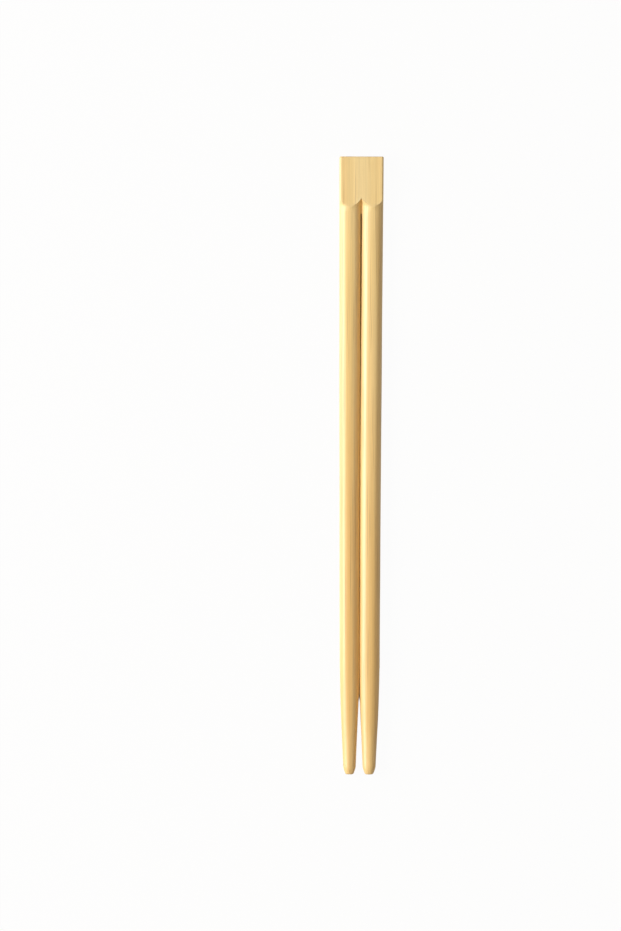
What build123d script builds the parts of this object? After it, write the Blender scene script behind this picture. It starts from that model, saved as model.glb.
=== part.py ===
from build123d import *

import os
from math import hypot

# A joined pair of disposable bamboo chopsticks, cut from one flat slat of bamboo.
# It lies on its back: X runs across the pair, Y along it with the head at +Y, and Z is up.
# The origin is under the middle of the pair, in the plane of the head's back face.
# A station is a distance from the head's end, measured towards the tips.
# All sizes are in millimetres.

# The slat
length = 210.0
head_width = 15.0
foot_width = 13.3
thickness = 5.0
edge_round = 0.9
end_bevel = 0.35

# The rounds milled along both faces, one for each stick
head_length = 17.0
crown_flat = 1.1
web_thickness = 0.6
runout_radius = 1.1

# The saw kerf between the sticks
kerf_start = 19.3
kerf_head_width = 0.55
kerf_tip_width = 0.2

# The points at the ends of the sticks, and the blunt noses at their tips
point_length = 36.0
point_entry = 1.08
tip_width = 4.3
tip_thickness = 3.4
nose_length = 2.2
nose_shoulder_round = 5.0
nose_end_width = 2.7
nose_end_thickness = 2.1
nose_end_round = 0.5

# How far a cutting tool reaches past the bamboo
tool_clearance = 2.0


def along(station):
    """The Y of a place at this distance from the head's end."""
    return length / 2 - station


def half_width(station):
    """Half of the slat's width, which narrows evenly from the head to the tips."""
    return (head_width + (foot_width - head_width) * station / length) / 2


def half_kerf(station):
    """Half of the kerf's width: the two sticks spring a little towards each other."""
    share = (station - kerf_start) / (length - kerf_start)
    return (kerf_head_width + (kerf_tip_width - kerf_head_width) * share) / 2


def stick_centre(station):
    """The X of the middle of the right-hand stick."""
    return (half_width(station) + half_kerf(station)) / 2


# Places that follow from the sizes
middle_height = thickness / 2
cutter_axis_height = thickness + runout_radius
cutter_reach = head_width / 2 + tool_clearance
cutter_start = head_length - tool_clearance
cutter_end = length + tool_clearance
point_start = length - point_length
nose_start = length - nose_length


def round_centre(station, side):
    """The centre of a stick's upper round: it passes the rims of the crown's flat, and the web."""
    valley_height = middle_height + web_thickness / 2
    rise = thickness - valley_height
    spread = stick_centre(station) ** 2 - (crown_flat / 2) ** 2
    height = valley_height + (rise - spread / rise) / 2
    return Vector(side * stick_centre(station), along(station), height)


def round_radius(station):
    """The radius of a stick's upper round."""
    return hypot(crown_flat / 2, thickness - round_centre(station, 1).Z)


def strip(half, start, end):
    """A flat tapering outline between two stations, where half(station) is half its width."""
    corners = [
        (side * half(station), along(station))
        for station, side in ((start, 1), (start, -1), (end, -1), (end, 1))
    ]
    return Polygon(*corners, align=None)


def slat():
    """The flat tapered slat, with its long edges rounded and its head end bevelled."""
    blank = extrude(strip(half_width, 0, length), thickness)
    long_edges = [edge for edge in blank.edges() if edge.length > length / 2]
    blank = fillet(long_edges, edge_round)
    head_end = blank.faces().sort_by(Axis.Y)[-1]
    return chamfer(head_end.edges(), end_bevel)


def stick_round(side):
    """The slowly narrowing cone that the cutter leaves as one stick's upper round."""
    axis = round_centre(cutter_end, side) - round_centre(cutter_start, side)
    cone = Cone(
        round_radius(cutter_start),
        round_radius(cutter_end),
        axis.length,
        align=(Align.CENTER, Align.CENTER, Align.MIN),
    )
    return Plane(round_centre(cutter_start, side), z_dir=axis) * cone


def face_cutter():
    """What is cut from the upper face: the run along the sticks and the round run-out at the head."""
    block = Box(
        2 * cutter_reach,
        cutter_end - head_length,
        cutter_axis_height - middle_height,
        align=(Align.CENTER, Align.MAX, Align.MIN),
    )
    run = Pos(0, along(head_length), middle_height) * block - stick_round(-1) - stick_round(1)
    section = run.faces().sort_by(Axis.Y)[-1]
    axis = Axis((0, along(head_length), cutter_axis_height), (1, 0, 0))
    return run + revolve(section, axis, revolution_arc=90)


def kerf():
    """The saw kerf, with a round end below the head."""
    end_radius = kerf_head_width / 2
    end_centre = kerf_start + end_radius
    round_end = Pos(0, along(end_centre)) * Circle(end_radius)
    return extrude(strip(half_kerf, end_centre, cutter_end) + round_end, thickness)


def point(side):
    """The tapering oval envelope that one stick's end is turned down to, with its blunt nose."""

    def section(station, width, depth):
        origin = (side * stick_centre(station), along(station), middle_height)
        plane = Plane(origin, x_dir=(1, 0, 0), z_dir=(0, -1, 0))
        return plane * Ellipse(width / 2, depth / 2)

    stick_width = half_width(point_start) - half_kerf(point_start)
    sections = [
        section(point_start, stick_width * point_entry, thickness * point_entry),
        section(nose_start, tip_width, tip_thickness),
        section(length, nose_end_width, nose_end_thickness),
    ]
    cone = loft(sections, ruled=True)
    shoulder = min(cone.edges(), key=lambda edge: abs(edge.center().Y - along(nose_start)))
    cone = fillet(shoulder, nose_shoulder_round)
    end_rim = cone.faces().sort_by(Axis.Y)[0].edges()
    return fillet(end_rim, nose_end_round)


def stock_round_points():
    """The bamboo that is turned away to leave the two points."""
    stock = Box(
        2 * head_width,
        point_length + tool_clearance,
        2 * thickness,
        align=(Align.CENTER, Align.MAX, Align.CENTER),
    )
    return Pos(0, along(point_start), middle_height) * stock - point(-1) - point(1)


def chopstick_pair():
    """One piece of bamboo: the slat, milled on both faces, slit and pointed."""
    upper_cut = face_cutter()
    lower_cut = mirror(upper_cut, about=Plane((0, 0, middle_height)))
    return slat() - upper_cut - lower_cut - kerf() - stock_round_points()


os.makedirs("parts", exist_ok=True)
export_step(chopstick_pair(), "parts/chopstick_pair.step")
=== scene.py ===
"""The look of a joined pair of bamboo chopsticks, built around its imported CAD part."""

import bmesh
import bpy
import numpy as np
from bpy.props import FloatProperty, FloatVectorProperty, PointerProperty
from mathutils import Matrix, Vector, noise


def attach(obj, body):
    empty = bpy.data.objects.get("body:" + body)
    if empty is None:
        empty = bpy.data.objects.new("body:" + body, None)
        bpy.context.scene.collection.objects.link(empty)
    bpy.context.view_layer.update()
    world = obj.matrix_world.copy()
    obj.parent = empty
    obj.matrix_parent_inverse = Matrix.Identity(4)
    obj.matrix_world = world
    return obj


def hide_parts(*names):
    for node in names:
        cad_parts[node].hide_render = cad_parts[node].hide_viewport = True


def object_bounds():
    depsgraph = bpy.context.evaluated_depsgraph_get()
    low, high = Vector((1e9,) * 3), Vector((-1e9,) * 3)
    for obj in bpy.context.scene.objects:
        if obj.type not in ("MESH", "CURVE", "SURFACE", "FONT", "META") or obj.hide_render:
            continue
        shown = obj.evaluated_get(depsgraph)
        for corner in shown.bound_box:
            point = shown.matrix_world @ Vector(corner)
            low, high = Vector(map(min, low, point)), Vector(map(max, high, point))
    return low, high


bl_info = {
    "name": "Joined Bamboo Chopsticks",
    "version": (1, 0, 0),
    "blender": (4, 5, 0),
    "location": "View3D > Sidebar > Chopsticks",
    "description": "Builds a joined pair of bamboo chopsticks and the stage that it lies on",
    "category": "Object",
}

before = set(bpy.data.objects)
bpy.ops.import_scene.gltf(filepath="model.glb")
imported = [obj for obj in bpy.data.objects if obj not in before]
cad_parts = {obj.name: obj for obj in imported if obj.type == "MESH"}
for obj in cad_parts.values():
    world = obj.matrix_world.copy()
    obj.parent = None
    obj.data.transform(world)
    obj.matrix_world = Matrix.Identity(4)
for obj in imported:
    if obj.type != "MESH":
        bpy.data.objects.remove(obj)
cad_low, cad_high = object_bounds()
cad_size = cad_high - cad_low

MILLIMETRE = 0.001

# Working values of the mesh: the halvings of each search, and limits for rounding, welding and smoothing
BISECTIONS = 48
LEAST_ROUNDING = 1e-9
WELD_DISTANCE = 1e-7
SHARP_ANGLE = np.radians(38)

# Reach of the wear from the lobes' edge and the head's end, and from the kerf as a share of the way out
LOBE_WEAR = 0.25 * MILLIMETRE
END_WEAR = 0.5 * MILLIMETRE
KERF_WEAR = 0.04

# The ragged burr inside the kerf: its spacing, how uneven it is, and where in the noise it is read
BURR_SPACING = 3 * MILLIMETRE
BURR_RAGGEDNESS = 0.8
BURR_PLACE = (7.3, 0.5)

# Spacing of the furrows and of the slow unevenness, across and along the sticks
FINE_FURROWS = (0.32 * MILLIMETRE, 34 * MILLIMETRE)
COARSE_FURROWS = (0.8 * MILLIMETRE, 70 * MILLIMETRE)
SLOW_WAVES = (11 * MILLIMETRE, 27 * MILLIMETRE)
COARSE_DEPTH = 1.4

# Shares of the length between which the kerf drifts off the middle
DRIFT_SPAN = (0.1, 0.6)

# The middle of the values that a noise gives
NOISE_MIDDLE = 0.5

# Noises of the grain: spacing across and along the sticks in metres, a seed, and how fine they are
BANDS = {"across": 0.0042, "along": 0.21, "seed": 3.7, "detail": 1.0, "roughness": 0.5}
STREAKS = {"across": 0.0011, "along": 0.09, "seed": 11.3, "detail": 2.0, "roughness": 0.5}
THREADS = {"across": 0.00026, "along": 0.03, "seed": 5.1, "detail": 3.0, "roughness": 0.6}

# Fibre bundles: spacing across and along in metres, their scatter, and the fade from rim to core
BUNDLE_SPACING = (0.00075, 0.06)
BUNDLE_SCATTER = 0.9
BUNDLE_FADE = (0.34, 0.14)

# The slow wander of the fibres: waves in a metre, and how far they reach
WANDER_WAVES = 45.0
WANDER_REACH = 0.0007

# Tints of the grain and of painted light: where each one starts, where it is full, and its share there.
# The first two go by the noise of the bands, and the others by places in metres.
WARM_BANDS = (0.5, 0.68, 0.6)
PALE_BANDS = (0.5, 0.32, 0.6)
PALE_MIDDLE = (0.0036, 0.0016, 0.75)
# Amber at mid-height, fading out towards the outer sides: painted warm shade of the valley and the lower
# flanks
PAINTED_SHADE_DEPTH = (0.0024, 0.0012, 0.55)
PAINTED_SHADE_SIDES = (0.0069, 0.0058)
RIPENED_LEGS = (0.09, -0.06, 0.6)
PALE_HEAD = (0.06, 0.1, 0.5)
PALE_TIPS = (-0.082, -0.1, 0.3)
# Cream on the outer lands: a painted highlight along the outer edges
PAINTED_HIGHLIGHT_LANDS = (0.0058, 0.0069, 0.8)

# How strongly streaks, threads and bundles show in the grain's tone, roughness and height
STREAK_TONE = 0.34
THREAD_TONE = 0.3
PLAIN_ROUGHNESS = 0.45
THREAD_ROUGHNESS = 0.35
BUNDLE_ROUGHNESS = 0.12
BUNDLE_HEIGHT = -0.5

# Shares of the worn colour and of the sawn colour, which is partly the saw's darkening and partly painted
# shade of the narrow kerf, and the dulling at grazing angles
WORN_SHARE = 0.16
SAWN_AND_SHADE_SHARE = 0.75
GRAZING_DULL = (0.45, 0.7, 0.3)

# Where the floor goes from its own light to white: metres from the pair's middle, or along it
BESIDE_LEGS = (0.0055, 0.007)
BELOW_LEGS = (-0.058, -0.077)
BESIDE_FORK = (0.0007, 0.0012)
BELOW_FORK = (-0.0785, -0.0805)
ABOVE_HEAD = (0.09, 0.1)

# Sockets of a Mix node that mixes colours
MIX_SHARE = 0
MIX_FIRST = 6
MIX_SECOND = 7
MIX_RESULT = 2

WHITE = (1.0, 1.0, 1.0, 1.0)


def size_property(name, description, default):
    """A length in metres that a user can change."""
    return FloatProperty(name=name, description=description, default=default, unit="LENGTH", precision=5)


def place_property(name, description, default):
    """A place in metres that a user can change."""
    return FloatVectorProperty(
        name=name, description=description, default=default, subtype="TRANSLATION", size=3, precision=3
    )


def number_property(name, description, default):
    """A ratio or a strength that a user can change."""
    return FloatProperty(name=name, description=description, default=default, min=0.0, precision=3)


def share_property(name, description, default):
    """A share of the whole that a user can change."""
    return FloatProperty(
        name=name, description=description, default=default, subtype="FACTOR", min=0.0, max=1.0, precision=3
    )


def power_property(name, description, default):
    """The power of a lamp, which a user can change."""
    return FloatProperty(name=name, description=description, default=default, unit="POWER", min=0.0)


def angle_property(name, description, default):
    """An angle that a user can change."""
    return FloatProperty(name=name, description=description, default=default, subtype="ANGLE")


def colour_property(name, description, default):
    """A linear colour that a user can change."""
    return FloatVectorProperty(
        name=name, description=description, default=default, subtype="COLOR", size=3, min=0.0, max=1.0
    )


class ChopstickSizes(bpy.types.PropertyGroup):
    """Sizes of the joined pair."""

    length: size_property("Length", "From the head's end to the tips", cad_size.y)
    head_width: size_property("Head width", "Width of the slat at the head's end", cad_size.x)
    foot_width: size_property("Foot width", "Width that the slat narrows to at the tips", 0.0133)
    thickness: size_property("Thickness", "Thickness of the slat", cad_size.z)
    edge_round: size_property("Edge round", "Rounding of the slat's long edges", 0.0007)
    end_round: size_property("End round", "Easing of the edges at the head's end", 0.0004)
    head_length: size_property("Head length", "From the head's end to the foot of its lobes", 0.0171)
    crown_relief: size_property("Crown relief", "Depth of the legs' crowns below the head's face", 0.00005)
    web_thickness: size_property("Web thickness", "Bamboo left in the valley above the kerf", 0.0006)
    runout_radius: size_property("Run-out radius", "Radius that the cutter leaves below the lobes", 0.0015)
    land_round: size_property("Land round", "Rounding of the legs' outer edges", 0.00055)
    kerf_start: size_property("Kerf start", "From the head's end to the end of the saw kerf", 0.0193)
    kerf_head_width: size_property("Kerf width at the head", "Width of the kerf below the head", 0.0006)
    kerf_close: size_property("Kerf close", "From the head's end to where the sticks come together", 0.118)
    kerf_tip_width: size_property("Kerf width at the tips", "Width of the kerf below that", 0.00004)
    burr_gap: size_property("Burr gap", "Gap left between the burrs where two saw cuts meet", 0.00008)
    point_length: size_property("Point length", "Length of the taper at the tips", 0.036)
    point_entry: number_property("Point entry", "Size of the taper's start against the stick", 1.08)
    tip_width: size_property("Tip width", "Width of a tip above its nose", 0.0043)
    tip_thickness: size_property("Tip thickness", "Thickness of a tip above its nose", 0.0034)
    nose_length: size_property("Nose length", "Length of the blunt nose", 0.0022)
    nose_end_width: size_property("Nose end width", "Width of the nose at its end", 0.0027)
    nose_end_thickness: size_property("Nose end thickness", "Thickness of the nose at its end", 0.0021)
    nose_end_round: size_property("Nose end round", "Rounding of the nose's end", 0.0005)
    bow: size_property("Bow", "How far the pair bends to the left at its middle", 0.0001)
    kerf_drift: size_property("Kerf drift", "How far left of the pair's middle the kerf runs", 0.00018)
    fibre_depth: size_property("Fibre depth", "Depth of the fine furrows along the fibres", 0.000014)
    unevenness: size_property("Unevenness", "Slow rise and fall of the milled surfaces", 0.00005)


class BambooColours(bpy.types.PropertyGroup):
    """Colours of the bamboo."""

    straw: colour_property("Straw", "Main colour of planed bamboo", (0.88, 0.615, 0.225))
    cream: colour_property("Cream", "Palest bands of the planed faces", (0.95, 0.725, 0.345))
    amber: colour_property("Amber", "Warmest bands of the planed faces", (0.855, 0.51, 0.155))
    bundle: colour_property("Fibre bundle", "Brown of the fibre bundles", (0.42, 0.23, 0.085))
    worn: colour_property("Worn edge", "Colour of the eased edges", (0.9, 0.74, 0.46))
    # Its dark brown is partly the saw's darkening and partly painted shade of the narrow kerf
    sawn: colour_property("Sawn wall", "Colour of the walls of the kerf", (0.5, 0.33, 0.15))


class StageSettings(bpy.types.PropertyGroup):
    """The floor, the lamps and the camera."""

    floor: colour_property("Floor", "Colour of the floor", (0.66, 0.61, 0.54))
    floor_width: size_property("Floor width", "Width of the square floor", 8.0)
    floor_drop: size_property("Floor drop", "How far the floor lies below the pair", 0.00005)
    shadow_share: share_property("Shadow share", "How much of the floor's own light shows", 0.035)
    key_place: place_property("Key place", "Where the left-hand softbox stands", (-0.84, 0.05, 0.55))
    key_width: size_property("Key width", "Width of the left-hand softbox", 0.9)
    key_height: size_property("Key height", "Height of the left-hand softbox", 0.5)
    key_power: power_property("Key power", "Power of the left-hand softbox", 12.3)
    top_place: place_property("Top place", "Where the overhead softbox hangs", (0.1, 0.0, 1.6))
    top_width: size_property("Top width", "Width of the square overhead softbox", 0.8)
    top_power: power_property("Top power", "Power of the overhead softbox", 0.8)
    fill_colour: colour_property("Fill colour", "Colour of the even light all round", (1.0, 0.83, 0.58))
    fill: number_property("Fill", "Strength of the even light all round", 0.26)
    camera_distance: size_property("Camera distance", "Height of the camera above the floor", 1.2)
    view_height: size_property("View height", "Height of the picture on the sticks", 0.31605)
    view_offset: size_property("View offset", "How far left of the pair the camera stands", 0.01704)
    camera_roll: angle_property("Camera roll", "Turn of the camera about its line of sight", 0.0031)


def smooth_step(start, end, value):
    """Rises smoothly from 0 at start to 1 at end."""
    share = np.clip((value - start) / (end - start), 0, 1)
    return share * share * (3 - 2 * share)


def soft_max(first, second, rounding):
    """The larger of two values, rounded over where they are close."""
    width = np.maximum(rounding, LEAST_ROUNDING)
    near = np.maximum(width - np.abs(first - second), 0)
    return np.maximum(first, second) + near * near / (4 * width)


def rows_after(start, end, count):
    """Evenly spaced values that follow start and reach end."""
    return np.linspace(start, end, count + 1)[1:]


class PairForm:
    """The form of one stick with its half of the head. Heights count from the slat's middle plane.

    A station is a distance from the head's end. The other stick is the mirror image.
    """

    # The gap to the turned points where they don't reach
    FAR_INSIDE = -1.0

    def __init__(self, sizes):
        self.sizes = sizes
        self.half_thickness = sizes.thickness / 2
        self.crown = self.half_thickness - sizes.crown_relief
        self.valley = sizes.web_thickness / 2
        self.mill_start = sizes.head_length + np.sqrt(
            2 * sizes.runout_radius * sizes.crown_relief - sizes.crown_relief**2
        )
        self.cutter_axis = self.crown + sizes.runout_radius
        self.kerf_end_radius = sizes.kerf_head_width / 2
        self.kerf_straight = sizes.kerf_start + self.kerf_end_radius
        self.point_start = sizes.length - sizes.point_length
        self.nose_start = sizes.length - sizes.nose_length

    def half_width(self, station):
        """Half of the slat's width."""
        taper = (self.sizes.foot_width - self.sizes.head_width) / self.sizes.length
        return (self.sizes.head_width + taper * station) / 2

    def half_kerf(self, station):
        """Half of the kerf's width."""
        sizes = self.sizes
        share = np.minimum((station - sizes.kerf_start) / (sizes.kerf_close - sizes.kerf_start), 1)
        return (sizes.kerf_head_width + (sizes.kerf_tip_width - sizes.kerf_head_width) * share) / 2

    def centre(self, station):
        """How far the stick's middle is from the pair's middle."""
        return (self.half_width(station) + self.half_kerf(station)) / 2

    def wall(self, station):
        """How far the stick's inner wall is from the pair's middle: nothing in the head."""
        back = np.clip(self.kerf_straight - station, 0, self.kerf_end_radius)
        rounded = np.sqrt(self.kerf_end_radius**2 - back**2)
        return np.where(station >= self.kerf_straight, self.half_kerf(station), rounded)

    def round_height(self, station, across):
        """Height of the milled round."""
        rise = self.crown - self.valley
        centre = self.centre(station)
        radius = (centre**2 + rise**2) / (2 * rise)
        reach = np.maximum(radius**2 - (across - centre) ** 2, 0)
        return self.crown - radius + np.sqrt(reach)

    def cut_height(self, station, across):
        """Height that the cutter leaves, with the round run-out below the head. It is above all the bamboo
        where the cutter doesn't reach."""
        back = np.maximum(self.mill_start - station, 0)
        sweep = self.cutter_axis - self.round_height(np.maximum(station, self.mill_start), across)
        left = sweep**2 - back**2
        return np.where(left > 0, self.cutter_axis - np.sqrt(np.maximum(left, 0)), 2 * self.half_thickness)

    def slat_gap(self, station, across, height):
        """Distance outside the rounded slat, negative inside it."""
        rounding = self.sizes.edge_round
        side = across - (self.half_width(station) - rounding)
        top = height - (self.half_thickness - rounding)
        outside = np.hypot(np.maximum(side, 0), np.maximum(top, 0))
        return outside + np.minimum(np.maximum(side, top), 0) - rounding + self.end_inset(station)

    def end_inset(self, station):
        """How far the eased edges draw in at the head's end."""
        easing = self.sizes.end_round
        short = np.clip(easing - station, 0, easing)
        return easing - np.sqrt(easing**2 - short**2)

    def point_axes(self, station):
        """Half width and half thickness of the turned point, with its blunt nose."""
        sizes = self.sizes
        stick_width = self.half_width(self.point_start) - self.half_kerf(self.point_start)
        along = (station - self.point_start) / (self.nose_start - self.point_start)
        into_nose = (station - self.nose_start) / sizes.nose_length
        into_rim = np.clip(station - (sizes.length - sizes.nose_end_round), 0, sizes.nose_end_round)
        rim = sizes.nose_end_round - np.sqrt(sizes.nose_end_round**2 - into_rim**2)
        axes = []
        for start, shoulder, end in (
            (stick_width * sizes.point_entry, sizes.tip_width, sizes.nose_end_width),
            (sizes.thickness * sizes.point_entry, sizes.tip_thickness, sizes.nose_end_thickness),
        ):
            taper = start + (shoulder - start) * along
            nose = shoulder + (end - shoulder) * into_nose
            axes.append(-soft_max(-taper, -nose, sizes.nose_end_round) / 2 - rim)
        return axes

    def gap(self, station, across, height):
        """Positive outside the stick and negative inside it."""
        sizes = self.sizes
        leg = smooth_step(self.mill_start, self.mill_start + sizes.runout_radius, station)
        slat = self.slat_gap(station, across, height)
        cut = height - self.cut_height(station, across)
        made = soft_max(slat, cut, sizes.land_round * leg)
        width, depth = self.point_axes(station)
        turned = depth * (np.hypot((across - self.centre(station)) / width, height / depth) - 1)
        turned = np.where(station > self.point_start, turned, self.FAR_INSIDE)
        made = soft_max(made, turned, sizes.land_round)
        return np.maximum(made, self.wall(station) - across)

    def reach(self, gap, station, angle):
        """Across and height of the surface, seen at this angle from the stick's middle."""
        near = np.zeros(np.broadcast(station, angle).shape)
        far = near + 2 * self.sizes.head_width
        centre = self.centre(station)
        for _ in range(BISECTIONS):
            middle = (near + far) / 2
            outside = gap(station, centre + middle * np.cos(angle), middle * np.sin(angle)) > 0
            far = np.where(outside, middle, far)
            near = np.where(outside, near, middle)
        return centre + near * np.cos(angle), near * np.sin(angle)

    def inner_rim(self, station):
        """Angle at which the stick's upper surface meets the pair's middle or the kerf."""
        across = self.wall(station)
        face = self.half_thickness - self.end_inset(station)
        height = np.minimum(self.cut_height(station, across), face)
        steady = np.minimum(station, self.point_start)
        across = np.where(station > self.point_start, self.wall(steady), across)
        height = np.where(station > self.point_start, self.round_height(steady, across), height)
        return np.arctan2(height, across - self.centre(steady))

    def lobe_edge(self, share):
        """The station where the cutter leaves the head's face, for each share of the way out."""
        before = np.zeros_like(share)
        after = before + self.mill_start
        for _ in range(BISECTIONS):
            middle = (before + after) / 2
            angle = self.inner_rim(middle) * (1 - share)
            across, height = self.reach(self.slat_gap, middle, angle)
            cut = height > self.cut_height(middle, across)
            after = np.where(cut, middle, after)
            before = np.where(cut, before, middle)
        return before


class PairMesh:
    """Collects the points and faces of both sticks, with a material and an edge mask.

    Each row of points is a loop: out over the upper side, back under the lower side, and up the inner
    wall. The columns of the upper side are shares of the way out from the inner wall.
    """

    COLUMNS = 72
    CAP_RINGS = 7

    # Heights of the inner wall's points, against its upper rim, and which of them the burr moves
    WALL_SHARES = (-0.75, -0.32, -0.14, 0.14, 0.32, 0.75)
    BURR = (0, 0, 1, 1, 0, 0)

    # How many rows each stretch has, from the head's end to the tip
    END_ROWS = 7
    HEAD_ROWS = 18
    RUNOUT_ROWS = 22
    PLAIN_ROWS = 5
    KERF_END_ROWS = 5
    LEG_ROWS = 121
    TAPER_ROWS = 41
    NOSE_ROWS = 15
    RIM_ROWS = 7

    # The shortest run-out that the rows leave room for, and how far its rows go on past it
    LEAST_RUNOUT = 0.25 * MILLIMETRE
    RUNOUT_TAIL = 0.15 * MILLIMETRE

    PLANED, SAWN, CUT_END = range(3)

    def __init__(self, form):
        self.form = form
        self.points = []
        self.wear = []
        self.faces = []
        self.materials = []
        self.share = np.linspace(0, 1, self.COLUMNS + 1)
        self.loop = 2 * self.COLUMNS + 1 + len(self.WALL_SHARES)
        self.stations, self.edge_row, self.kerf_row = self.rows()

    def rows(self):
        """The stations by row and column, the row along the lobes' edge, and the kerf's first row."""
        form, sizes = self.form, self.form.sizes
        edge = np.minimum(form.lobe_edge(self.share), form.mill_start - self.LEAST_RUNOUT)
        end_turn = np.linspace(0, np.pi / 2, self.END_ROWS)
        end = sizes.end_round / sizes.head_length * (1 - np.cos(end_turn))
        head = np.concatenate([end, rows_after(end[-1], 1, self.HEAD_ROWS)])
        runout = rows_after(0, 1, self.RUNOUT_ROWS)
        runout_end = form.mill_start + self.RUNOUT_TAIL
        plain = rows_after(runout_end, sizes.kerf_start, self.PLAIN_ROWS)
        kerf_turn = rows_after(0, np.pi / 2, self.KERF_END_ROWS)
        kerf_end = sizes.kerf_start + form.kerf_end_radius * (1 - np.cos(kerf_turn))
        # The closer rows of the taper and of the nose each start a nose's length early
        leg_end = form.point_start - sizes.nose_length
        leg = rows_after(kerf_end[-1], leg_end, self.LEG_ROWS)
        taper_end = form.nose_start - sizes.nose_length
        taper = rows_after(leg_end, taper_end, self.TAPER_ROWS)
        rim_start = sizes.length - sizes.nose_end_round
        nose = rows_after(taper_end, rim_start, self.NOSE_ROWS)
        rim_turn = rows_after(0, np.pi / 2, self.RIM_ROWS)
        rim = rim_start + sizes.nose_end_round * np.sin(rim_turn)
        even = np.concatenate([plain, kerf_end, leg, taper, nose, rim])
        stations = np.vstack(
            [
                head[:, None] * edge,
                edge + runout[:, None] * (runout_end - edge),
                np.broadcast_to(even[:, None], (len(even), len(self.share))),
            ]
        )
        return stations, len(head) - 1, len(head) + len(runout) + len(plain) - 1

    def section_points(self, side):
        """All points of one stick, as rows of closed loops."""
        form = self.form
        station = self.stations
        angle = form.inner_rim(station) * (1 - self.share)
        across, height = form.reach(form.gap, station, angle)
        inner = station[:, :1]
        wall_angle = np.arctan2(height[:, :1] * self.WALL_SHARES, across[:, :1] - form.centre(inner))
        wall_station = np.broadcast_to(inner, wall_angle.shape)
        wall_across, wall_height = form.reach(form.gap, wall_station, wall_angle)
        wall_across -= self.burr(inner, side) * self.BURR
        loop_across = np.hstack([across, across[:, -2::-1], wall_across])
        loop_station = np.hstack([station, station[:, -2::-1], wall_station])
        loop_height = np.hstack([height, -height[:, -2::-1], wall_height])
        return np.stack(
            [
                side * loop_across,
                form.sizes.length / 2 - loop_station,
                loop_height + form.half_thickness,
            ],
            axis=-1,
        )

    def burr(self, station, side):
        """How far the ragged burr stands out from the kerf's wall."""
        seed, level = BURR_PLACE
        places = [(row / BURR_SPACING, side * seed, level) for row in station[:, 0]]
        ragged = np.array([[noise.noise(Vector(place))] for place in places])
        half_gap = self.form.sizes.burr_gap / 2 * (1 + BURR_RAGGEDNESS * ragged)
        return np.maximum(self.form.wall(station) - half_gap, 0)

    def edge_mask(self):
        """Nearness of each point to an eased edge, from 0 to 1."""
        form, sizes = self.form, self.form.sizes
        lobe = np.exp(-np.abs(self.stations - self.stations[self.edge_row]) / LOBE_WEAR)
        end = np.exp(-self.stations / END_WEAR)
        in_kerf = smooth_step(sizes.kerf_start, form.kerf_straight, self.stations)
        kerf = np.exp(-self.share / KERF_WEAR) * in_kerf
        mask = np.maximum(np.maximum(lobe, end), kerf)
        wall = np.zeros((len(mask), len(self.WALL_SHARES)))
        return np.hstack([mask, mask[:, -2::-1], wall])

    def add_face(self, corners, material, side):
        """One face, turned outward on either side."""
        self.faces.append(corners if side > 0 else corners[::-1])
        self.materials.append(material)

    def add_stick(self, side):
        """One stick with its half of the head."""
        points = self.section_points(side)
        first = len(self.points)
        self.points.extend(points.reshape(-1, 3))
        self.wear.extend(self.edge_mask().ravel())
        wall_from = 2 * self.COLUMNS
        for row in range(len(points) - 1):
            for column in range(self.loop):
                in_wall = column >= wall_from
                if in_wall and row < self.kerf_row:
                    continue
                here = first + row * self.loop
                below = here + self.loop
                after = (column + 1) % self.loop
                corners = (here + column, here + after, below + after, below + column)
                self.add_face(corners, self.SAWN if in_wall else self.PLANED, side)
        self.add_cap(points[0], first, 0, side)
        self.add_cap(points[-1], first + (len(points) - 1) * self.loop, self.form.sizes.length, -side)

    def add_cap(self, rim, rim_first, station, side):
        """Closes the end of a stick with rings that shrink to its middle."""
        form = self.form
        sign = np.sign(rim[self.COLUMNS, 0])
        along = form.sizes.length / 2 - station
        middle = np.array([sign * form.centre(station), along, form.half_thickness])
        outer = [rim_first + column for column in range(self.loop)]
        for ring in range(1, self.CAP_RINGS):
            share = ring / self.CAP_RINGS
            first = len(self.points)
            self.points.extend(rim + (middle - rim) * share)
            self.wear.extend([0.0] * self.loop)
            inner = [first + column for column in range(self.loop)]
            for column in range(self.loop):
                after = (column + 1) % self.loop
                corners = (outer[column], inner[column], inner[after], outer[after])
                self.add_face(corners, self.CUT_END, side)
            outer = inner
        hub = len(self.points)
        self.points.append(middle)
        self.wear.append(0.0)
        for column in range(self.loop):
            self.add_face((outer[column], hub, outer[(column + 1) % self.loop]), self.CUT_END, side)

    def build(self, name):
        """The welded mesh, with its edge mask as an attribute."""
        mesh = bpy.data.meshes.new(name)
        mesh.from_pydata([tuple(point) for point in self.points], [], self.faces)
        mesh.polygons.foreach_set("material_index", np.array(self.materials, np.int32))
        mask = mesh.attributes.new("edge_wear", "FLOAT", "POINT")
        mask.data.foreach_set("value", np.array(self.wear, np.float32))
        shell = bmesh.new()
        shell.from_mesh(mesh)
        bmesh.ops.delete(shell, geom=[v for v in shell.verts if not v.link_faces], context="VERTS")
        bmesh.ops.remove_doubles(shell, verts=shell.verts, dist=WELD_DISTANCE)
        bmesh.ops.recalc_face_normals(shell, faces=shell.faces)
        shell.to_mesh(mesh)
        shell.free()
        return mesh


def read_vectors(mesh, name):
    """A vector of each vertex, such as its place or its normal."""
    values = np.zeros(len(mesh.vertices) * 3)
    mesh.vertices.foreach_get(name, values)
    return values.reshape(-1, 3)


def bend_pair(places, sizes):
    """Gives the straight pair its slight bow, and lets the kerf drift off its middle."""
    along = np.clip(0.5 - places[:, 1] / sizes.length, 0, 1)
    from_middle = np.abs(places[:, 0]) / (sizes.head_width / 2)
    drift = sizes.kerf_drift * smooth_step(*DRIFT_SPAN, along) * (1 - from_middle**2)
    places[:, 0] -= sizes.bow * np.sin(np.pi * along) + drift


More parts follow.
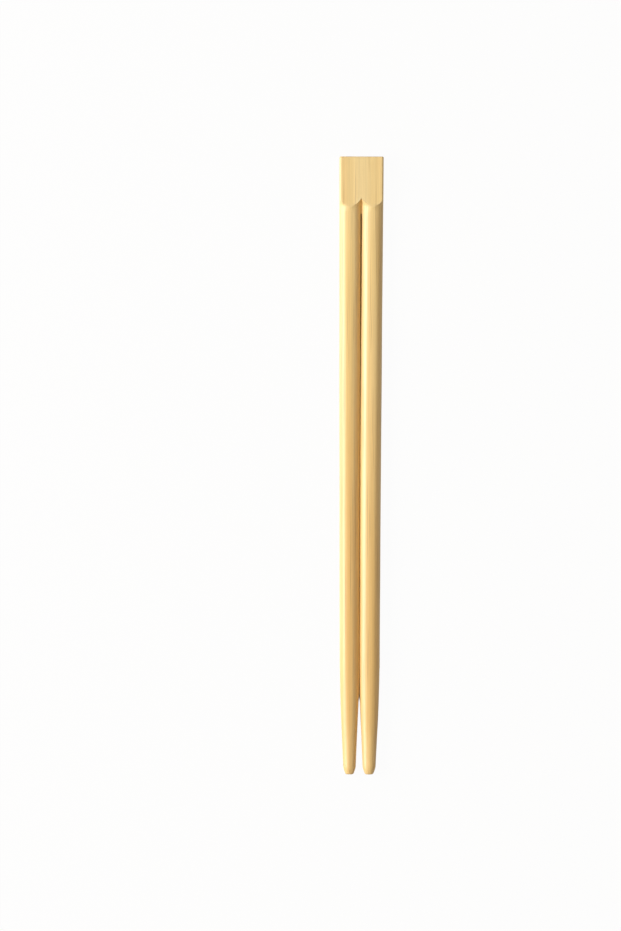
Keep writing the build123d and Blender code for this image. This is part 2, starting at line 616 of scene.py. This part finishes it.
def ripple_surface(mesh, sizes):
    """Gives the surfaces their furrows along the fibres and a slow unevenness, and bends the pair."""
    places = read_vectors(mesh, "co")
    normals = read_vectors(mesh, "normal")
    lift = np.zeros(len(places))
    for depth, (across, along) in (
        (sizes.fibre_depth, FINE_FURROWS),
        (sizes.fibre_depth * COARSE_DEPTH, COARSE_FURROWS),
        (sizes.unevenness, SLOW_WAVES),
    ):
        scaled = places / np.array((across, along, across))
        lift += depth * np.array([noise.noise(Vector(place)) for place in scaled])
    places += normals * lift[:, None]
    places[:, 2] = np.maximum(places[:, 2], 0)
    bend_pair(places, sizes)
    mesh.vertices.foreach_set("co", places.ravel())
    mesh.update()


def add_node(tree, kind, inputs=None, **settings):
    """A node with its settings, its plain values and its links."""
    made = tree.nodes.new(kind)
    for name, value in settings.items():
        setattr(made, name, value)
    for name, value in (inputs or {}).items():
        if isinstance(value, bpy.types.NodeSocket):
            tree.links.new(value, made.inputs[name])
        else:
            made.inputs[name].default_value = value
    return made


def opaque(colour):
    """A colour with full alpha, as a socket takes it."""
    return (*colour, 1.0)


def math_node(tree, operation, *values, clamp=False):
    """The result of a math node."""
    made = add_node(tree, "ShaderNodeMath", dict(enumerate(values)), operation=operation, use_clamp=clamp)
    return made.outputs[0]


def vector_node(tree, operation, *values):
    """The result of a vector math node."""
    made = add_node(tree, "ShaderNodeVectorMath", dict(enumerate(values)), operation=operation)
    return made.outputs[0]


def mix_colour(tree, share, first, second):
    """The result of mixing two colours."""
    inputs = {MIX_SHARE: share, MIX_FIRST: first, MIX_SECOND: second}
    return add_node(tree, "ShaderNodeMix", inputs, data_type="RGBA").outputs[MIX_RESULT]


def fade(tree, value, start, full, share=1.0):
    """A mask that rises smoothly from nothing at one value to its share at another."""
    inputs = {"Value": value, "From Min": start, "From Max": full, "To Min": 0.0, "To Max": share}
    made = add_node(tree, "ShaderNodeMapRange", inputs, interpolation_type="SMOOTHSTEP")
    return made.outputs["Result"]


def stretched_noise(tree, place, across, along, seed, detail, roughness):
    """Noise in streaks along the sticks. Spacings are in metres."""
    density = (1 / across, 1 / along, 1 / across)
    scaled = vector_node(tree, "MULTIPLY_ADD", place, density, (seed, seed, seed))
    inputs = {"Vector": scaled, "Scale": 1.0, "Detail": detail, "Roughness": roughness}
    return add_node(tree, "ShaderNodeTexNoise", inputs).outputs["Fac"]


def wandering_place(tree):
    """Places on the pair, shifted a little so that the fibres wander."""
    place = add_node(tree, "ShaderNodeTexCoord").outputs["Object"]
    inputs = {"Vector": place, "Scale": WANDER_WAVES, "Detail": 1.0}
    wander = add_node(tree, "ShaderNodeTexNoise", inputs).outputs["Color"]
    centred = vector_node(tree, "SUBTRACT", wander, (NOISE_MIDDLE, NOISE_MIDDLE, NOISE_MIDDLE))
    return vector_node(tree, "MULTIPLY_ADD", centred, (WANDER_REACH, 0.0, WANDER_REACH), place)


def tinted_bamboo(tree, place, bands, given):
    """The slow changes of colour: bands, painted warm shade at mid-height, the warm legs, the paler head
    and tips, and a painted highlight along the outer edges.
    """
    axes = add_node(tree, "ShaderNodeSeparateXYZ", {0: place}).outputs
    beside = math_node(tree, "ABSOLUTE", axes["X"])
    off_middle = math_node(tree, "ABSOLUTE", math_node(tree, "SUBTRACT", axes["Z"], cad_size.z / 2))

    colour = mix_colour(tree, fade(tree, bands, *WARM_BANDS), given["Straw"], given["Amber"])
    colour = mix_colour(tree, fade(tree, bands, *PALE_BANDS), colour, given["Cream"])
    colour = mix_colour(tree, fade(tree, beside, *PALE_MIDDLE), colour, given["Cream"])

    # Amber at mid-height, away from the outer sides, is painted warm shade of the valley and the lower
    # flanks
    painted_shade = math_node(
        tree, "MULTIPLY", fade(tree, off_middle, *PAINTED_SHADE_DEPTH), fade(tree, beside, *PAINTED_SHADE_SIDES)
    )
    ripened = fade(tree, axes["Y"], *RIPENED_LEGS)
    colour = mix_colour(tree, math_node(tree, "MAXIMUM", painted_shade, ripened), colour, given["Amber"])

    head = fade(tree, axes["Y"], *PALE_HEAD)
    tips = fade(tree, axes["Y"], *PALE_TIPS)
    # Cream on the outer lands is a painted highlight along the outer edges
    painted_highlight = fade(tree, beside, *PAINTED_HIGHLIGHT_LANDS)
    paler = math_node(tree, "MAXIMUM", math_node(tree, "MAXIMUM", head, tips), painted_highlight)
    return mix_colour(tree, paler, colour, given["Cream"])


def fibre_bundles(tree, place):
    """A mask of the fibre bundles: long dashes on the faces, and dots on the cut ends."""
    across, along = BUNDLE_SPACING
    scaled = vector_node(tree, "MULTIPLY", place, (1 / across, 1 / along, 1 / across))
    inputs = {"Vector": scaled, "Scale": 1.0, "Randomness": BUNDLE_SCATTER}
    cells = add_node(tree, "ShaderNodeTexVoronoi", inputs).outputs["Distance"]
    return fade(tree, cells, *BUNDLE_FADE)


def bamboo_grain_group():
    """Bands, streaks and fibre bundles along the sticks, as a node group."""
    tree = bpy.data.node_groups.new("bamboo_grain", "ShaderNodeTree")
    for name, direction, kind in (
        ("Straw", "INPUT", "NodeSocketColor"),
        ("Cream", "INPUT", "NodeSocketColor"),
        ("Amber", "INPUT", "NodeSocketColor"),
        ("Bundle", "INPUT", "NodeSocketColor"),
        ("Bundle Strength", "INPUT", "NodeSocketFloat"),
        ("Streak Strength", "INPUT", "NodeSocketFloat"),
        ("Colour", "OUTPUT", "NodeSocketColor"),
        ("Roughness", "OUTPUT", "NodeSocketFloat"),
        ("Height", "OUTPUT", "NodeSocketFloat"),
    ):
        tree.interface.new_socket(name, in_out=direction, socket_type=kind)
    given = add_node(tree, "NodeGroupInput").outputs
    place = wandering_place(tree)
    bands = stretched_noise(tree, place, **BANDS)
    streaks = stretched_noise(tree, place, **STREAKS)
    threads = stretched_noise(tree, place, **THREADS)
    tinted = tinted_bamboo(tree, place, bands, given)

    swing = math_node(tree, "SUBTRACT", streaks, NOISE_MIDDLE)
    fine = math_node(tree, "SUBTRACT", threads, NOISE_MIDDLE)
    fine_tone = math_node(tree, "MULTIPLY", fine, THREAD_TONE)
    both = math_node(tree, "MULTIPLY_ADD", swing, STREAK_TONE, fine_tone)
    tone = math_node(tree, "MULTIPLY_ADD", both, given["Streak Strength"], 1.0)
    toned = add_node(tree, "ShaderNodeVectorMath", {0: tinted, "Scale": tone}, operation="SCALE").outputs[0]

    bundle = fibre_bundles(tree, place)
    shown = math_node(tree, "MULTIPLY", bundle, given["Bundle Strength"], clamp=True)
    colour = mix_colour(tree, shown, toned, given["Bundle"])
    planed = math_node(tree, "MULTIPLY_ADD", fine, THREAD_ROUGHNESS, PLAIN_ROUGHNESS)
    roughness = math_node(tree, "MULTIPLY_ADD", shown, BUNDLE_ROUGHNESS, planed)
    ridges = math_node(tree, "ADD", threads, streaks)
    height = math_node(tree, "MULTIPLY_ADD", bundle, BUNDLE_HEIGHT, ridges)
    add_node(tree, "NodeGroupOutput", {"Colour": colour, "Roughness": roughness, "Height": height})
    return tree


def bamboo_material(name, grain, colours, bundle_strength, streak_strength, specular):
    """A new material with the grain placed in it. Returns it with its tree and the grain's outputs."""
    made = bpy.data.materials.new(name)
    made.use_nodes = True
    tree = made.node_tree
    tree.nodes["Principled BSDF"].inputs["Specular IOR Level"].default_value = specular
    inputs = {
        "Straw": opaque(colours.straw),
        "Cream": opaque(colours.cream),
        "Amber": opaque(colours.amber),
        "Bundle": opaque(colours.bundle),
        "Bundle Strength": bundle_strength,
        "Streak Strength": streak_strength,
    }
    return made, tree, add_node(tree, "ShaderNodeGroup", inputs, node_tree=grain).outputs


def feed_shader(tree, colour, roughness, height, bump_strength, bump_distance):
    """Gives a material's shader its colour and roughness, and a normal from the height."""
    inputs = {"Height": height, "Strength": bump_strength, "Distance": bump_distance}
    normal = add_node(tree, "ShaderNodeBump", inputs).outputs["Normal"]
    sockets = tree.nodes["Principled BSDF"].inputs
    for name, value in (("Base Color", colour), ("Roughness", roughness), ("Normal", normal)):
        tree.links.new(value, sockets[name])


def planed_bamboo(grain, colours):
    """The planed faces and milled rounds, a little paler along eased edges and duller at grazing angles."""
    made, tree, fibres = bamboo_material(
        "planed_bamboo", grain, colours, bundle_strength=0.34, streak_strength=0.9, specular=1.0
    )
    edge = add_node(tree, "ShaderNodeAttribute", attribute_name="edge_wear").outputs["Fac"]
    worn = math_node(tree, "MULTIPLY", edge, WORN_SHARE)
    colour = mix_colour(tree, worn, fibres["Colour"], opaque(colours.worn))
    facing = add_node(tree, "ShaderNodeLayerWeight").outputs["Facing"]
    dulled = fade(tree, facing, *GRAZING_DULL)
    roughness = math_node(tree, "ADD", fibres["Roughness"], dulled, clamp=True)
    feed_shader(tree, colour, roughness, fibres["Height"], bump_strength=0.35, bump_distance=0.00004)
    return made


def sawn_bamboo(grain, colours):
    """The walls of the kerf, fuzzy from the saw, and darker brown: partly the saw's mark and partly painted
    shade of the narrow slit.
    """
    made, tree, fibres = bamboo_material(
        "sawn_bamboo", grain, colours, bundle_strength=0.5, streak_strength=1.4, specular=0.2
    )
    # The darker brown is partly the saw's mark and partly painted shade of the narrow slit
    colour = mix_colour(tree, SAWN_AND_SHADE_SHARE, fibres["Colour"], opaque(colours.sawn))
    roughness = fibres["Roughness"]
    feed_shader(tree, colour, roughness, fibres["Height"], bump_strength=0.8, bump_distance=0.00012)
    return made


def end_grain(grain, colours):
    """The cut ends, where the fibre bundles show as dots."""
    made, tree, fibres = bamboo_material(
        "end_grain", grain, colours, bundle_strength=0.85, streak_strength=0.8, specular=0.25
    )
    colour = fibres["Colour"]
    roughness = fibres["Roughness"]
    feed_shader(tree, colour, roughness, fibres["Height"], bump_strength=0.6, bump_distance=0.00008)
    return made


class CHOPSTICKS_OT_pair(bpy.types.Operator):
    """Build the joined pair: flat head, milled rounds, kerf and pointed tips"""

    bl_idname = "chopsticks.pair"
    bl_label = "Joined Pair"
    bl_options = {"REGISTER", "UNDO"}

    def execute(self, context):
        sizes = context.scene.chopstick_sizes
        colours = context.scene.bamboo_colours
        drawing = PairMesh(PairForm(sizes))
        for side in (1, -1):
            drawing.add_stick(side)
        mesh = drawing.build("joined_pair")
        ripple_surface(mesh, sizes)
        mesh.polygons.foreach_set("use_smooth", np.ones(len(mesh.polygons), bool))
        mesh.set_sharp_from_angle(angle=SHARP_ANGLE)
        grain = bamboo_grain_group()
        # In the order of PairMesh.PLANED, SAWN and CUT_END
        for finish in (planed_bamboo, sawn_bamboo, end_grain):
            mesh.materials.append(finish(grain, colours))
        pair = bpy.data.objects.new("joined_pair", mesh)
        context.scene.collection.objects.link(pair)
        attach(pair, "root")
        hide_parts("chopstick_pair")
        return {"FINISHED"}


def background_share(tree):
    """One for rays that show the background: from the camera, and in gloss and glass."""
    path = add_node(tree, "ShaderNodeLightPath").outputs
    gloss = math_node(tree, "MAXIMUM", path["Is Glossy Ray"], path["Is Transmission Ray"])
    return math_node(tree, "MAXIMUM", path["Is Camera Ray"], gloss)


def open_floor(tree):
    """One on the open floor, and nothing under the legs and in the fork between the points, where the floor
    shows its own light."""
    place = add_node(tree, "ShaderNodeTexCoord").outputs["Object"]
    axes = add_node(tree, "ShaderNodeSeparateXYZ", {0: place}).outputs
    from_middle = math_node(tree, "ABSOLUTE", axes["X"])
    past_legs = math_node(
        tree, "MAXIMUM", fade(tree, from_middle, *BESIDE_LEGS), fade(tree, axes["Y"], *BELOW_LEGS)
    )
    past_fork = math_node(
        tree, "MAXIMUM", fade(tree, from_middle, *BESIDE_FORK), fade(tree, axes["Y"], *BELOW_FORK)
    )
    past_both = math_node(tree, "MINIMUM", past_legs, past_fork)
    return math_node(tree, "MAXIMUM", past_both, fade(tree, axes["Y"], *ABOVE_HEAD))


def pale_floor(settings):
    """The floor's material, which reads as white and keeps the shadow."""
    made = bpy.data.materials.new("pale_floor")
    made.use_nodes = True
    tree = made.node_tree
    tree.nodes.remove(tree.nodes["Principled BSDF"])
    lit = add_node(tree, "ShaderNodeBsdfDiffuse", {"Color": opaque(settings.floor)})
    white = add_node(tree, "ShaderNodeEmission", {"Color": WHITE, "Strength": 1.0})
    share = math_node(tree, "MULTIPLY", background_share(tree), 1.0 - settings.shadow_share)
    share = math_node(tree, "MULTIPLY", share, open_floor(tree))
    both = add_node(tree, "ShaderNodeMixShader", {0: share, 1: lit.outputs[0], 2: white.outputs[0]})
    tree.links.new(both.outputs[0], tree.nodes["Material Output"].inputs["Surface"])
    return made


def add_floor(scene, settings):
    """A wide pale floor just below the pair."""
    mesh = bpy.data.meshes.new("floor")
    half = settings.floor_width / 2
    outline = ((-half, -half), (half, -half), (half, half), (-half, half))
    mesh.from_pydata([(x, y, -settings.floor_drop) for x, y in outline], [], [(0, 1, 2, 3)])
    mesh.materials.append(pale_floor(settings))
    floor = bpy.data.objects.new("floor", mesh)
    scene.collection.objects.link(floor)


def add_softbox(scene, name, place, width, height, power):
    """A soft lamp that faces the pair."""
    lamp = bpy.data.lights.new(name, "AREA")
    lamp.shape = "RECTANGLE"
    lamp.size = width
    lamp.size_y = height
    lamp.energy = power
    holder = bpy.data.objects.new(name, lamp)
    holder.location = place
    holder.rotation_euler = Vector(place).to_track_quat("Z", "Y").to_euler()
    scene.collection.objects.link(holder)


def light_world(scene, settings):
    """An even fill all round, with a white background."""
    world = bpy.data.worlds.new("studio")
    scene.world = world
    world.use_nodes = True
    tree = world.node_tree
    background = tree.nodes["Background"].inputs
    shown = background_share(tree)
    colour = mix_colour(tree, shown, opaque(settings.fill_colour), WHITE)
    tree.links.new(colour, background["Color"])
    inputs = {"Value": shown, "To Min": settings.fill, "To Max": 1.0}
    strength = add_node(tree, "ShaderNodeMapRange", inputs).outputs["Result"]
    tree.links.new(strength, background["Strength"])


def add_camera(scene, settings):
    """A camera that looks straight down, with the head at the top of the picture."""
    data = bpy.data.cameras.new("camera")
    above_face = settings.camera_distance - cad_high.z
    data.lens = data.sensor_width * above_face / settings.view_height
    camera = bpy.data.objects.new("camera", data)
    camera.location = (-settings.view_offset, 0.0, settings.camera_distance)
    camera.rotation_euler = (0.0, 0.0, settings.camera_roll)
    scene.collection.objects.link(camera)
    scene.camera = camera


class CHOPSTICKS_OT_stage(bpy.types.Operator):
    """Set up the pale floor, the soft lamps and the camera"""

    bl_idname = "chopsticks.stage"
    bl_label = "Stage"
    bl_options = {"REGISTER", "UNDO"}

    def execute(self, context):
        scene = context.scene
        stage = scene.chopstick_stage
        add_floor(scene, stage)
        for name, place, width, height, power in (
            ("key_softbox", stage.key_place, stage.key_width, stage.key_height, stage.key_power),
            ("top_softbox", stage.top_place, stage.top_width, stage.top_width, stage.top_power),
        ):
            add_softbox(scene, name, place, width, height, power)
        light_world(scene, stage)
        add_camera(scene, stage)
        scene.view_settings.view_transform = "Standard"
        return {"FINISHED"}


class CHOPSTICKS_PT_build(bpy.types.Panel):
    """Lists the steps and the values that they use"""

    bl_idname = "CHOPSTICKS_PT_build"
    bl_label = "Joined Bamboo Chopsticks"
    bl_space_type = "VIEW_3D"
    bl_region_type = "UI"
    bl_category = "Chopsticks"

    def draw(self, context):
        layout = self.layout
        for operator, values in (
            (CHOPSTICKS_OT_pair, (context.scene.chopstick_sizes, context.scene.bamboo_colours)),
            (CHOPSTICKS_OT_stage, (context.scene.chopstick_stage,)),
        ):
            box = layout.box()
            box.operator(operator.bl_idname)
            for group in values:
                for name in group.__annotations__:
                    box.prop(group, name)


classes = (
    ChopstickSizes,
    BambooColours,
    StageSettings,
    CHOPSTICKS_OT_pair,
    CHOPSTICKS_OT_stage,
    CHOPSTICKS_PT_build,
)


def register():
    for cls in classes:
        bpy.utils.register_class(cls)
    bpy.types.Scene.chopstick_sizes = PointerProperty(type=ChopstickSizes)
    bpy.types.Scene.bamboo_colours = PointerProperty(type=BambooColours)
    bpy.types.Scene.chopstick_stage = PointerProperty(type=StageSettings)


def unregister():
    del bpy.types.Scene.chopstick_stage
    del bpy.types.Scene.bamboo_colours
    del bpy.types.Scene.chopstick_sizes
    for cls in reversed(classes):
        bpy.utils.unregister_class(cls)


def main():
    register()
    bpy.ops.chopsticks.pair()
    bpy.ops.chopsticks.stage()


if __name__ == "__main__":
    main()
